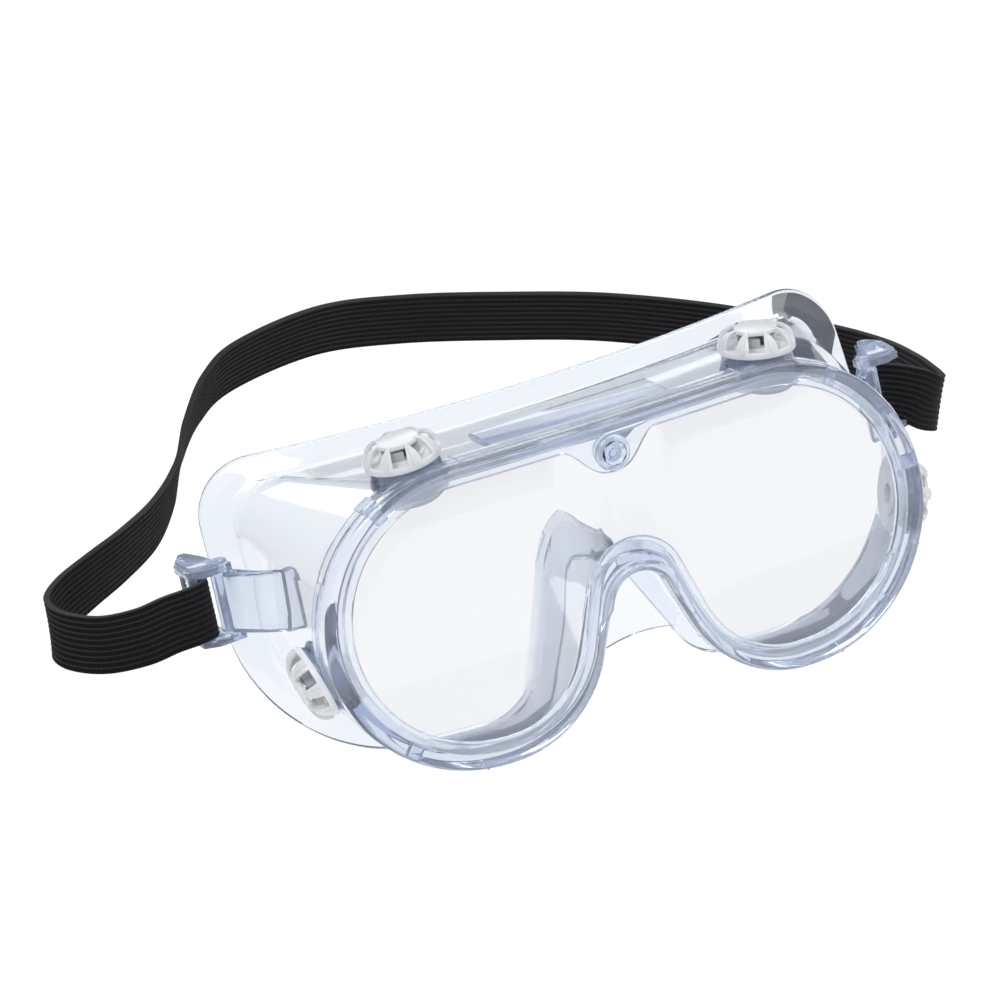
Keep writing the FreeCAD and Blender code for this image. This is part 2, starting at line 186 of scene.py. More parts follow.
def milkyPlastic(name, look):
    material = bpy.data.materials.new(name)
    material.use_nodes = True
    tree = material.node_tree
    skin = tree.nodes["Principled BSDF"]
    skin.inputs["Subsurface Weight"].default_value = 0.45
    skin.inputs["Subsurface Radius"].default_value = (1.0, 1.0, 1.0)
    skin.inputs["Subsurface Scale"].default_value = 0.002
    skin.inputs["Transmission Weight"].default_value = 0.15
    skin.inputs["IOR"].default_value = 1.5
    place = addNode(tree, "ShaderNodeTexCoord", (-1100, 0))
    cloud = addNode(tree, "ShaderNodeTexNoise", (-900, 100), Scale=90.0, Detail=4.0)
    tree.links.new(place.outputs["Object"], cloud.inputs["Vector"])
    tone = addNode(tree, "ShaderNodeMix", (-500, 200), data_type="RGBA")
    tone.inputs["A"].default_value = look["color"]
    tone.inputs["B"].default_value = tuple(c * 0.93 for c in look["color"][:3]) + (1,)
    tree.links.new(cloud.outputs["Fac"], tone.inputs["Factor"])
    tree.links.new(tone.outputs["Result"], skin.inputs["Base Color"])
    fine = addNode(tree, "ShaderNodeTexNoise", (-900, -250), Scale=900.0, Detail=2.0)
    tree.links.new(place.outputs["Object"], fine.inputs["Vector"])
    bump = addNode(tree, "ShaderNodeBump", (-400, -250), Strength=0.12, Distance=0.0002)
    tree.links.new(fine.outputs["Fac"], bump.inputs["Height"])
    tree.links.new(bump.outputs["Normal"], skin.inputs["Normal"])
    spread = addNode(tree, "ShaderNodeMapRange", (-500, -50))
    spread.inputs["To Min"].default_value = look["rough"] * 0.8
    spread.inputs["To Max"].default_value = look["rough"] * 1.2
    tree.links.new(cloud.outputs["Fac"], spread.inputs["Value"])
    tree.links.new(spread.outputs["Result"], skin.inputs["Roughness"])
    return material


def ribbedElastic(name):
    # along and across are stored on the strap, in metres
    material = bpy.data.materials.new(name)
    material.use_nodes = True
    tree = material.node_tree
    cloth = tree.nodes["Principled BSDF"]
    cloth.inputs["Roughness"].default_value = 0.82
    cloth.inputs["Sheen Weight"].default_value = 0.04
    cloth.inputs["Sheen Roughness"].default_value = 0.5
    cloth.inputs["Specular IOR Level"].default_value = 0.12
    along = addNode(tree, "ShaderNodeAttribute", (-1300, 200), attribute_name="alongStrap")
    across = addNode(tree, "ShaderNodeAttribute", (-1300, -100), attribute_name="acrossStrap")
    spot = addNode(tree, "ShaderNodeCombineXYZ", (-1100, 50))
    tree.links.new(along.outputs["Fac"], spot.inputs["X"])
    tree.links.new(across.outputs["Fac"], spot.inputs["Y"])
    weft = addNode(tree, "ShaderNodeTexWave", (-850, 250), Scale=330.0, Distortion=1.4, Detail=2.0)
    weft.inputs["Detail Scale"].default_value = 1.2
    tree.links.new(spot.outputs["Vector"], weft.inputs["Vector"])
    rib = addNode(tree, "ShaderNodeAttribute", (-1300, -350), attribute_name="ribHeight")
    fuzz = addNode(tree, "ShaderNodeTexNoise", (-850, -50), Scale=1500.0, Detail=3.0)
    tree.links.new(spot.outputs["Vector"], fuzz.inputs["Vector"])
    drift = addNode(tree, "ShaderNodeTexNoise", (-850, -300), Scale=28.0, Detail=2.0)
    tree.links.new(spot.outputs["Vector"], drift.inputs["Vector"])
    ridge = addNode(tree, "ShaderNodeMath", (-1000, -350), operation="POWER")
    ridge.inputs[1].default_value = finishes["strap"]["ribSharpness"]
    tree.links.new(rib.outputs["Fac"], ridge.inputs[0])
    yarn = addNode(tree, "ShaderNodeMath", (-600, 150), operation="MULTIPLY")
    tree.links.new(weft.outputs["Fac"], yarn.inputs[0])
    tree.links.new(fuzz.outputs["Fac"], yarn.inputs[1])
    lift = addNode(tree, "ShaderNodeMath", (-600, -150), operation="MULTIPLY")
    tree.links.new(ridge.outputs[0], lift.inputs[0])
    tree.links.new(drift.outputs["Fac"], lift.inputs[1])
    total = addNode(tree, "ShaderNodeMath", (-400, 0), operation="MULTIPLY_ADD")
    total.inputs[1].default_value = finishes["strap"]["yarnShare"]
    tree.links.new(yarn.outputs[0], total.inputs[0])
    tree.links.new(lift.outputs[0], total.inputs[2])
    tone = addNode(tree, "ShaderNodeMix", (-200, 100), data_type="RGBA")
    tone.inputs["A"].default_value = finishes["strap"]["base"]
    tone.inputs["B"].default_value = finishes["strap"]["rib"]
    tree.links.new(total.outputs[0], tone.inputs["Factor"])
    tree.links.new(tone.outputs["Result"], cloth.inputs["Base Color"])
    bump = addNode(tree, "ShaderNodeBump", (-200, -250), Strength=0.35, Distance=0.0002)
    tree.links.new(yarn.outputs[0], bump.inputs["Height"])
    tree.links.new(bump.outputs["Normal"], cloth.inputs["Normal"])
    return material


softPvc = clearPlastic("softPvc", finishes["pvc"])
lensSheet = clearPlastic("lensSheet", finishes["lens"])
hardClear = clearPlastic("hardClear", finishes["clip"])
capPlastic = milkyPlastic("capPlastic", finishes["cap"])
# the plug's finish carries painted shade, a darker colour in place of the shadow inside the frame
plugPlasticPaintedShade = milkyPlastic("plugPlasticPaintedShade", finishes["plug"])
strapElastic = ribbedElastic("strapElastic")
print("finishes made")


# ---- the frame: one outline rule for the rim, the lens opening and the face flange

outlines = {  # upper and lower are x, z, radius; nose is z, radius, flare in degrees
    "rim": dict(upper=(42.0, 38.8, 37.6), lower=(42.0, 37.9, 37.9), corner=30.0, nose=(29.4, 7.9, 21.0)),
    "opening": dict(upper=(40.5, 39.3, 31.8), lower=(40.5, 38.7, 31.9), corner=24.0, nose=(33.6, 12.4, 18.0)),
    "flange": dict(upper=(71.4, 61.5, 15.7), lower=(51.0, 37.0, 37.0), corner=14.0, nose=(24.0, 9.5, 26.0)),
}
body = {  # millimetres, and the lean in radians
    "frontRadius": 600.0,
    "wall": 1.8,
    "skirtInset": 3.0,
    "flangeWidth": 6.0,
    "flangeThick": 2.2,
    "skirtEnd": 66.0,
    "faceY": 41.2,
    "faceRadius": 245.0,
    "faceLean": math.radians(14.0),
    "tabDrop": 8.1,
    "tabHalf": 12.5,
    "skirtRings": 14,
}
stops = dict(top=12, upper=30, side=12, lower=30, bottom=3, corner=14, noseLine=12, noseArc=16)
topSplit = 14.0  # the top line is divided here, so that the tab has points enough


def halfOutline(shape, inset):
    # right half, from the top middle round to the middle of the nose
    ux, uz, ur = shape["upper"]
    lx, lz, lr = shape["lower"]
    nz, nr, flare = shape["nose"]
    cr = shape["corner"] - inset
    ur, lr, nr = ur - inset, lr - inset, nr + inset
    gap = math.hypot(ux - lx, uz - lz)
    tilt = math.asin((lr - ur) / gap) - math.atan2(ux - lx, uz - lz)
    nx, nzv = math.cos(math.radians(flare)), math.sin(math.radians(flare))
    noseTop = (nx * nr, nz + nzv * nr)
    cornerZ = lz - lr + cr
    cornerX = noseTop[0] + (cr - (cornerZ - noseTop[1]) * nzv) / nx
    points = []

    def line(a, b, count):
        for i in range(count):
            points.append((a[0] + (b[0] - a[0]) * i / count, a[1] + (b[1] - a[1]) * i / count))

    def arc(cx, cz, r, begin, end, count):
        for i in range(count):
            t = begin + (end - begin) * i / count
            points.append((cx + r * math.cos(t), cz + r * math.sin(t)))

    line((0, uz + ur), (topSplit, uz + ur), stops["top"])
    line((topSplit, uz + ur), (ux, uz + ur), stops["top"])
    arc(ux, uz, ur, math.pi / 2, tilt, stops["upper"])
    line((ux + ur * math.cos(tilt), uz + ur * math.sin(tilt)),
         (lx + lr * math.cos(tilt), lz + lr * math.sin(tilt)), stops["side"])
    arc(lx, lz, lr, tilt, -math.pi / 2, stops["lower"])
    line((lx, lz - lr), (cornerX, lz - lr), stops["bottom"])
    arc(cornerX, cornerZ, cr, -math.pi / 2, -math.pi + math.radians(flare), stops["corner"])
    line((cornerX - nx * cr, cornerZ - nzv * cr), noseTop, stops["noseLine"])
    arc(0, nz, nr, math.radians(flare), math.pi / 2, stops["noseArc"])
    points.append((0, nz + nr))
    return points


def fullOutline(name, inset):
    half = halfOutline(outlines[name], inset)
    return half + [(-x, z) for x, z in reversed(half[1:-1])]


def frontBack(x):
    r = body["frontRadius"]
    return r - math.sqrt(r * r - x * x)


def faceBack(x, z, step=0.0):
    r = body["faceRadius"]
    inward = r - math.sqrt((r + step) ** 2 - x * x)
    lean = body["faceLean"]  # the top stands further back than the bottom
    return body["faceY"] + (inward + (z - 40) * math.sin(lean)) / math.cos(lean)


def tabBump(x):
    # the front lip dips round the button's tab
    t = min(1.0, abs(x) / body["tabHalf"])
    return body["tabDrop"] * (0.5 + 0.5 * math.cos(math.pi * t ** 1.35))


def ringAt(name, inset, y, tab=False):
    ring = []
    for x, z in fullOutline(name, inset):
        if tab and z > 60 and abs(x) < body["tabHalf"]:
            z -= tabBump(x)
        ring.append((x, y + frontBack(x), z))
    return ring


def flangeRing(inset, step):
    return [(x, faceBack(x, z, step), z) for x, z in fullOutline("flange", inset)]


def skirtRings(amount, startY, step, forward):
    # straight lines from the rim to the face flange; amount moves them inwards for the inner wall
    near = fullOutline("rim", body["skirtInset"] + amount)
    far = fullOutline("flange", body["flangeWidth"] + amount)
    rings = [[] for _ in range(body["skirtRings"] + 1)]
    for (ax, az), (bx, bz) in zip(near, far):
        end = 0.9  # share of the line at which it meets the curved face, found by repeating
        for _ in range(12):
            x, z = ax + (bx - ax) * end, az + (bz - az) * end
            end = faceBack(x, z, step) / body["skirtEnd"]
        begin = (startY + frontBack(ax)) / body["skirtEnd"]
        for i, ring in enumerate(rings):
            t = begin + (end - begin) * i / body["skirtRings"]
            ring.append((ax + (bx - ax) * t, body["skirtEnd"] * t, az + (bz - az) * t))
    return rings if forward else rings[::-1]


def loftRings(name, rings):
    # the last ring joins back to the first
    count = len(rings[0])
    verts = [Vector(p) * mm for ring in rings for p in ring]
    faces = []
    total = len(rings)
    for r in range(total):
        for i in range(count):
            j = (i + 1) % count
            a, b = r * count, ((r + 1) % total) * count
            faces.append((a + i, a + j, b + j, b + i))
    return newObject(name, verts, faces)


# once round the wall: front lip, rim with its groove, skirt, face flange, then back inside
frameRings = [ringAt("opening", 0.0, 1.7, True), ringAt("opening", 0.0, 0.7, True),
              ringAt("opening", -0.35, 0.3, True)]
frameRings += [ringAt("rim", inset, y) for inset, y in (
    (2.6, 0.3), (2.1, 0.0), (1.0, 0.0), (0.35, 0.25), (0.0, 0.9), (0.0, 3.9), (0.4, 4.25), (0.4, 4.75),
    (0.0, 5.1), (0.0, 8.6), (0.3, 9.2), (0.9, 9.5), (2.3, 9.5))]
frameRings += skirtRings(0.0, 10.2, body["flangeThick"] + 0.7, True)
frameRings += [
    flangeRing(5.0, 2.2), flangeRing(0.7, 2.2), flangeRing(0.2, 1.9), flangeRing(0.0, 1.1),
    flangeRing(0.2, 0.3), flangeRing(0.7, 0.0), flangeRing(7.0, 0.0),
]
frameRings += skirtRings(body["wall"], 7.0, 0.8, False)
frameRings += [
    ringAt("opening", -1.4, 6.4), ringAt("opening", -1.2, 6.2), ringAt("opening", -1.2, 4.2),
    ringAt("opening", -3.5, 4.2), ringAt("opening", -3.5, 2.0), ringAt("opening", -0.3, 2.0, True),
]
goggleFrame = loftRings("goggleFrame", frameRings)
smoothUnder(goggleFrame, 42)
setMaterial(goggleFrame, softPvc)
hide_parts("frame_body")
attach(goggleFrame, "goggles")
print("frame lofted")


# ---- small moulded parts of the frame

moulded = {
    "panel": dict(low=(-24, 10.6, 71.2), high=(24, 33.0, 73.9)),
    "lug": dict(points=[(73.5, 31.5), (78.4, 33.4), (83.0, 37.8), (89.4, 46.9), (90.7, 48.4), (90.9, 50.2),
                        (89.8, 51.8), (87.9, 52.2), (86.2, 51.4), (85.4, 49.4), (81.0, 40.4), (77.2, 36.6),
                        (73.5, 34.6)],
                low=38.9, high=54.3),
    "webY": 5.5, "webThick": 1.6, "webLow": 20.4, "webRadius": 36.0,
    "bandLift": 0.9, "bandWidth": 2.6, "bandEnd": (-13.5, 9.5),
    "marks": [  # where on the rim, width, depth from and to, reach inwards and outwards
        dict(at=(-59.6, 69), width=3.0, depth=(2.2, 5.2), reach=(-4.6, -1.2)),
        dict(at=(61, 69), width=2.6, depth=(2.2, 5.2), reach=(-4.6, -1.0)),
        dict(at=(79, 42), width=3.2, depth=(2.0, 5.4), reach=(-4.2, -0.8)),
        dict(at=(64, 7), width=2.4, depth=(2.4, 5.0), reach=(-4.0, -0.8)),
        dict(at=(-63, 9), width=3.4, depth=(2.2, 5.0), reach=(-4.2, -0.8)),
        dict(at=(-61.4, 71.3), width=4.4, depth=(2.6, 8.6), reach=(-0.6, 0.55)),
        dict(at=(78.3, 55.5), width=4.4, depth=(2.6, 8.6), reach=(-0.6, 0.55)),
        dict(at=(-38.3, 76), width=0.5, depth=(0.9, 9.2), reach=(-0.4, 0.3)),
        dict(at=(37, 76), width=0.5, depth=(0.9, 9.2), reach=(-0.4, 0.3)),
        dict(at=(76.5, 20), width=0.5, depth=(0.9, 9.2), reach=(-0.4, 0.3)),
        dict(at=(49.8, 0.3), width=0.5, depth=(0.9, 9.2), reach=(-0.4, 0.3)),
        dict(at=(-46, 0.3), width=0.5, depth=(0.9, 9.2), reach=(-0.4, 0.3)),
    ],
    "strip": dict(rise=(26.0, 56.0), depth=(4.6, 7.6), reach=(-0.5, 0.5)),
}


def prism(name, points, low, high, side=1):
    count = len(points)
    verts = [Vector((x * side, y, z)) * mm for z in (low, high) for x, y in points]
    faces = [tuple(range(count)), tuple(range(count, 2 * count))]
    faces += [(i, (i + 1) % count, (i + 1) % count + count, i + count) for i in range(count)]
    return newObject(name, verts, faces)


def box(name, low, high):
    points = [(low[0], low[1]), (high[0], low[1]), (high[0], high[1]), (low[0], high[1])]
    return prism(name, points, low[2], high[2])


def frameTrim(obj, edge, material=None):
    if edge:
        roundEdges(obj, edge, 3)
    smoothUnder(obj, crispAngle)
    setMaterial(obj, material or softPvc)
    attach(obj, "goggles")


frameTrim(box("topPanel", moulded["panel"]["low"], moulded["panel"]["high"]), 0.5)
for side, word in ((-1, "Left"), (1, "Right")):
    lug = moulded["lug"]
    frameTrim(prism("lug" + word, lug["points"], lug["low"], lug["high"], side), 0.7)


def noseArchPoints(inset, reach):
    # the nose arch and a stretch of the line each side of it
    half = halfOutline(outlines["rim"], inset)[-(stops["noseArc"] + 1 + reach):]
    return half + [(-x, z) for x, z in reversed(half[:-1])]


def noseWeb():
    # sloping web under the arch, its lower edge bowed
    outer = noseArchPoints(-0.6, 9)
    low, r, y = moulded["webLow"], moulded["webRadius"], moulded["webY"]
    rows = []
    steps = 8
    for x, z in outer:
        lowX = x * 0.92
        lowZ = low - r + math.sqrt(r * r - lowX * lowX)
        lowZ = min(lowZ, z)
        rows.append([(x + (lowX - x) * i / steps, y + 0.6 * i / steps, z + (lowZ - z) * i / steps)
                     for i in range(steps + 1)])
    verts, faces = [], []
    for offset in (0, moulded["webThick"]):
        for row in rows:
            verts += [Vector((x, y0 + offset, z)) * mm for x, y0, z in row]
    n, m = len(rows), steps + 1
    for layer in (0, 1):
        for i in range(n - 1):
            for j in range(m - 1):
                a = layer * n * m + i * m + j
                faces.append((a, a + 1, a + m + 1, a + m))
    rim = [(i, 0) for i in range(n)] + [(n - 1, j) for j in range(1, m)]
    rim += [(i, m - 1) for i in range(n - 2, -1, -1)] + [(0, j) for j in range(m - 2, 0, -1)]
    for k in range(len(rim)):
        a = rim[k][0] * m + rim[k][1]
        b = rim[(k + 1) % len(rim)][0] * m + rim[(k + 1) % len(rim)][1]
        faces.append((a, b, b + n * m, a + n * m))
    return newObject("noseWeb", verts, faces)


def noseBand():
    # raised band on the front of the rim, over the nose
    start, stop = moulded["bandEnd"]
    inner = [p for p in noseArchPoints(0.15, 9) if start < p[0] < stop]
    outer = [p for p in noseArchPoints(0.15 + moulded["bandWidth"], 9) if start < p[0] < stop]
    count = min(len(inner), len(outer))
    inner, outer = inner[:count], outer[:count]
    lift = moulded["bandLift"]
    verts, faces = [], []
    for (ax, az), (bx, bz) in zip(inner, outer):
        verts += [Vector((ax, -lift, az)) * mm, Vector((bx, -lift, bz)) * mm,
                  Vector((bx, 1.2, bz)) * mm, Vector((ax, 1.2, az)) * mm]
    for i in range(len(inner) - 1):
        for k in range(4):
            a, b = i * 4 + k, i * 4 + (k + 1) % 4
            faces.append((a, b, b + 4, a + 4))
    faces.append((0, 1, 2, 3))
    last = 4 * (len(inner) - 1)
    faces.append((last, last + 1, last + 2, last + 3))
    return newObject("noseBand", verts, faces)


def rimFooting(x, z):
    # the rim's outer line beside a point, with its outward direction
    line = fullOutline("rim", 0)
    i = min(range(len(line)), key=lambda k: math.dist(line[k], (x, z)))
    (ax, az), (bx, bz) = line[i - 1], line[(i + 1) % len(line)]
    along = Vector((bx - ax, bz - az)).normalized()
    return Vector(line[i]), along, Vector((-along.y, along.x))


def rimMark(mark):
    spot, along, out = rimFooting(*mark["at"])
    verts = []
    for y in mark["depth"]:
        for reach, side in ((0, -0.5), (0, 0.5), (1, 0.5), (1, -0.5)):
            flat = spot + out * mark["reach"][reach] + along * side * mark["width"]
            verts.append((flat.x, y + frontBack(flat.x), flat.y))
    faces = [(0, 1, 2, 3), (4, 5, 6, 7)] + [(i, (i + 1) % 4, (i + 1) % 4 + 4, i + 4) for i in range(4)]
    return verts, faces


def rimMarks():
    verts, faces = [], []
    for mark in moulded["marks"]:
        corners, sides = rimMark(mark)
        faces += [tuple(i + len(verts) for i in side) for side in sides]
        verts += corners
    return newObject("rimMarks", [Vector(v) * mm for v in verts], faces)


def rimStrip():
    # raised moulding up the left side of the rim
    low, high = moulded["strip"]["rise"]
    y0, y1 = moulded["strip"]["depth"]
    r0, r1 = moulded["strip"]["reach"]
    inner = [p for p in fullOutline("rim", -r0) if p[0] < -60 and low < p[1] < high]
    outer = [p for p in fullOutline("rim", -r1) if p[0] < -60 and low < p[1] < high]
    count = min(len(inner), len(outer))
    verts, faces = [], []
    for (ax, az), (bx, bz) in zip(inner[:count], outer[:count]):
        verts += [(ax, y0 + frontBack(ax), az), (bx, y0 + frontBack(bx), bz),
                  (bx, y1 + frontBack(bx), bz), (ax, y1 + frontBack(ax), az)]
    for i in range(count - 1):
        faces += [(4 * i + k, 4 * i + (k + 1) % 4, 4 * i + 4 + (k + 1) % 4, 4 * i + 4 + k) for k in range(4)]
    faces += [(0, 1, 2, 3), tuple(range(4 * count - 4, 4 * count))]
    return newObject("rimStrip", [Vector(v) * mm for v in verts], faces)


frameTrim(noseWeb(), 0)
frameTrim(noseBand(), 0.12)
frameTrim(rimMarks(), 0.12, hardClear)
frameTrim(rimStrip(), 0.12)
print("mouldings added")


# ---- vents: pedestal on the frame, cap and plug

vents = {
    "top": dict(at=(47.4, 14.8, 77.9), out=(0.10, -0.08, 0.99), depth=8.2),
    "side": dict(at=(78.6, 20.0, 29.5), out=(0.955, 0.11, -0.28), depth=4.6),
    "pedestalRadius": 8.6, "flare": 0.9, "ribs": 8, "ribWidth": 1.5, "ribLift": 0.35,
    "capRadius": 9.6, "capTop": 4.7, "capHeight": 5.6, "capFoot": 1.5,
}


def ventMatrix(kind, side):
    x, y, z = vents[kind]["at"]
    ox, oy, oz = vents[kind]["out"]
    out = Vector((ox * side, oy, oz)).normalized()
    turn = Vector((0, 0, 1)).rotation_difference(out).to_matrix().to_4x4()
    return Matrix.Translation(Vector((x * side, y, z)) * mm) @ turn


def turned(name, profile, segments=72):
    # profile of radius and height, closed on the axis at both ends
    verts, faces = [], []
    for r, z in profile:
        for i in range(segments):
            turn = 2 * math.pi * i / segments
            verts.append(Vector((r * math.cos(turn), r * math.sin(turn), z)) * mm)
    for k in range(len(profile) - 1):
        for i in range(segments):
            j = (i + 1) % segments
            faces.append((k * segments + i, k * segments + j, (k + 1) * segments + j, (k + 1) * segments + i))
    faces.append(tuple(range(segments)))
    faces.append(tuple(range((len(profile) - 1) * segments, len(profile) * segments)))
    return newObject(name, verts, faces)


def pedestal(name, kind, side):
    r, depth, flare = vents["pedestalRadius"], vents[kind]["depth"], vents["flare"]
    # a waist, and a small lip under the cap
    profile = [(r - 0.3, -depth), (r, -depth + 0.3), (r + flare, -depth * 0.55), (r + 0.25, -depth * 0.3),
               (r, -0.9), (r + 0.35, -0.6), (r + 0.35, -0.25), (r - 0.1, -0.04)]
    obj = turned(name, profile)
    obj.data.transform(ventMatrix(kind, side))
    return obj


def ribTree():
    # ribs set round a cap by an even turn
    tree = bpy.data.node_groups.new("capRibs", "GeometryNodeTree")
    tree.interface.new_socket("Geometry", in_out="INPUT", socket_type="NodeSocketGeometry")
    for label, kind, value in (("Count", "NodeSocketInt", 8), ("Turn", "NodeSocketFloat", 0.0)):
        tree.interface.new_socket(label, in_out="INPUT", socket_type=kind).default_value = value
    tree.interface.new_socket("Material", in_out="INPUT", socket_type="NodeSocketMaterial")
    tree.interface.new_socket("Geometry", in_out="OUTPUT", socket_type="NodeSocketGeometry")
    link = tree.links.new
    start = addNode(tree, "NodeGroupInput", (-800, 0))
    end = addNode(tree, "NodeGroupOutput", (800, 0))
    spots = addNode(tree, "GeometryNodeMeshLine", (-500, 200))
    spots.inputs["Offset"].default_value = (0, 0, 0)
    link(start.outputs["Count"], spots.inputs["Count"])
    number = addNode(tree, "GeometryNodeInputIndex", (-700, -250))
    share = addNode(tree, "ShaderNodeMath", (-500, -250), operation="DIVIDE")
    link(number.outputs[0], share.inputs[0])
    link(start.outputs["Count"], share.inputs[1])
    angle = addNode(tree, "ShaderNodeMath", (-300, -250), operation="MULTIPLY_ADD")
    angle.inputs[1].default_value = 2 * math.pi
    link(share.outputs[0], angle.inputs[0])
    link(start.outputs["Turn"], angle.inputs[2])
    spin = addNode(tree, "ShaderNodeCombineXYZ", (-100, -250))
    link(angle.outputs[0], spin.inputs["Z"])
    place = addNode(tree, "GeometryNodeInstanceOnPoints", (100, 100))
    link(spots.outputs["Mesh"], place.inputs["Points"])
    link(start.outputs["Geometry"], place.inputs["Instance"])
    link(spin.outputs[0], place.inputs["Rotation"])
    real = addNode(tree, "GeometryNodeRealizeInstances", (350, 100))
    link(place.outputs[0], real.inputs[0])
    paint = addNode(tree, "GeometryNodeSetMaterial", (570, 100))
    link(real.outputs[0], paint.inputs["Geometry"])
    link(start.outputs["Material"], paint.inputs["Material"])
    link(paint.outputs[0], end.inputs["Geometry"])
    return tree


def oneRib(name):
    # curved bar from the cap's foot to its flat top
    r, top, height, foot = vents["capRadius"], vents["capTop"], vents["capHeight"], vents["capFoot"]
    steps = 10
    verts, faces = [], []
    for i in range(steps + 1):
        t = i / steps
        bulge = math.sin(math.pi * t)
        x = r + (top - r) * t + 1.1 * bulge
        z = foot + (height - foot) * t + 0.7 * bulge
        half = vents["ribWidth"] / 2 * (1 - 0.35 * t)
        lift = vents["ribLift"]
        for dx, dy in ((-0.7, -half), (lift, -half * 0.7), (lift, half * 0.7), (-0.7, half)):
            verts.append(Vector((x + dx * (1 - 0.5 * t), dy, z + dx * 0.6 * t)) * mm)
    for i in range(steps):
        for k in range(4):
            a, b = i * 4 + k, i * 4 + (k + 1) % 4
            faces.append((a, b, b + 4, a + 4))
    faces.append((0, 1, 2, 3))
    faces.append(tuple(range(4 * steps, 4 * steps + 4)))
    return newObject(name, verts, faces)


capRibs = ribTree()


def setInput(modifier, label, value):
    # inputs are set by identifier, which the label finds
    item = [s for s in modifier.node_group.interface.items_tree if s.name == label and s.in_out == "INPUT"][0]
    modifier[item.identifier] = value


for kind in ("top", "side"):
    for side, word in ((-1, "left"), (1, "right")):
        tag = kind.title() + word.title()
        frameTrim(pedestal("pedestal" + tag, kind, side), 0, hardClear)
        dressedCopy("vent_cap_%s_%s" % (kind, word), "ventCap" + tag, 0.18, capPlastic, "goggles")
        dressedCopy("vent_plug_%s_%s" % (kind, word), "ventPlug" + tag, 0.15, plugPlasticPaintedShade, "goggles")
        ribs = oneRib("capRibs" + tag)
        modifier = ribs.modifiers.new("ribs", "NODES")
        modifier.node_group = capRibs
        setInput(modifier, "Count", vents["ribs"])
        setInput(modifier, "Turn", 0.0)
        setInput(modifier, "Material", capPlastic)
        bakeModifiers(ribs)
        ribs.data.transform(ventMatrix(kind, side))
        smoothUnder(ribs, crispAngle)
        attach(ribs, "goggles")
print("vents made")


# ---- lens, button, clips and pins

dressedCopy("lens", "lensSheet", 0.25, lensSheet, "goggles")
dressedCopy("lens_button", "lensButton", 0.25, hardClear, "goggles")
dressedCopy("button_washer", "buttonWasher", 0.2, hardClear, "goggles")
clipHead = dict(at=(88.2, 49.5), low=56.2, high=57.6,  # points are measured from the pin
                points=[(0.4, -2.2), (5.0, -3.0), (8.2, -1.2), (8.6, 7.8), (6.2, 12.8), (4.0, 13.0),
                        (1.8, 6.2)])
for side, word in ((-1, "left"), (1, "right")):
    spots = [(clipHead["at"][0] + x, clipHead["at"][1] + y) for x, y in clipHead["points"]]
    head = prism("clipHead" + word.title(), spots, clipHead["low"], clipHead["high"], side)
    roundEdges(head, 0.5, 3)
    setMaterial(head, hardClear)
    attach(head, "clip_" + word)
    dressedCopy("strap_clip_" + word, "strapClip" + word.title(), 0.5, hardClear, "clip_" + word)
    dressedCopy("clip_pin_" + word, "clipPin" + word.title(), 0.25, hardClear, "goggles")
print("small parts dressed")


# ---- strap

strap = {
    "width": 14.5, "thick": 1.15, "ribs": 10, "ribHeight": 0.2, "step": 1.2, "joint": (86.0, 121.8),
    "route": [  # x, y, z, lean of the top edge in degrees
        (-92.6, 63.6, 46.6, 0), (-91.9, 60.0, 46.6, 0), (-91.8, 56.0, 46.6, 0), (-92.0, 51.6, 46.6, 0),
        (-93.4, 48.2, 46.4, 0), (-98.0, 46.4, 46.2, 0),
        (-104.1, 46.9, 45.8, 0), (-112.0, 47.0, 45.0, 0), (-121.5, 49.5, 45.4, 0), (-128.4, 55.0, 47.6, 2),
        (-129.5, 61.5, 50.2, 4), (-124.0, 68.0, 52.4, 8), (-113.5, 75.0, 54.2, 12), (-102.0, 82.5, 55.8, 16),
        (-90.0, 91.0, 58.6, 20), (-80.5, 99.5, 64.0, 26), (-73.0, 108.0, 72.0, 28), (-63.0, 117.5, 78.6, 27),
        (-50.0, 126.0, 81.8, 26), (-24.0, 135.5, 81.6, 25), (0.5, 139.0, 76.8, 25), (27.3, 139.0, 69.7, 24),
        (52.7, 135.5, 62.6, 22), (76.7, 127.5, 54.2, 16), (94.0, 116.0, 47.4, 10), (104.5, 103.0, 43.3, 4),
        (110.0, 88.0, 40.5, -4), (110.8, 74.0, 39.0, -10), (109.9, 63.0, 38.1, -14), (108.1, 55.5, 38.2, -18),
        (105.5, 50.6, 39.3, -21), (102.0, 48.0, 41.2, -18),
        (98.4, 47.2, 44.2, -8), (94.6, 48.8, 46.0, 0), (92.2, 52.0, 46.5, 0), (91.8, 56.0, 46.6, 0),
        (91.8, 60.0, 46.6, 0), (91.9, 63.6, 46.6, 0),
    ],
}


def catmull(a, b, c, d, t):
    return 0.5 * ((2 * b) + (c - a) * t + (2 * a - 5 * b + 4 * c - d) * t * t
                  + (3 * b - a - 3 * c + d) * t ** 3)


def routePoints():
    rows = [Vector(p) for p in strap["route"]]
    rows = [2 * rows[0] - rows[1]] + rows + [2 * rows[-1] - rows[-2]]
    points = []
    for i in range(1, len(rows) - 2):
        span = max(2, round((rows[i + 1].xyz - rows[i].xyz).length / strap["step"]))
        points += [catmull(rows[i - 1], rows[i], rows[i + 1], rows[i + 2], k / span) for k in range(span)]
    points.append(rows[-2])
    return points


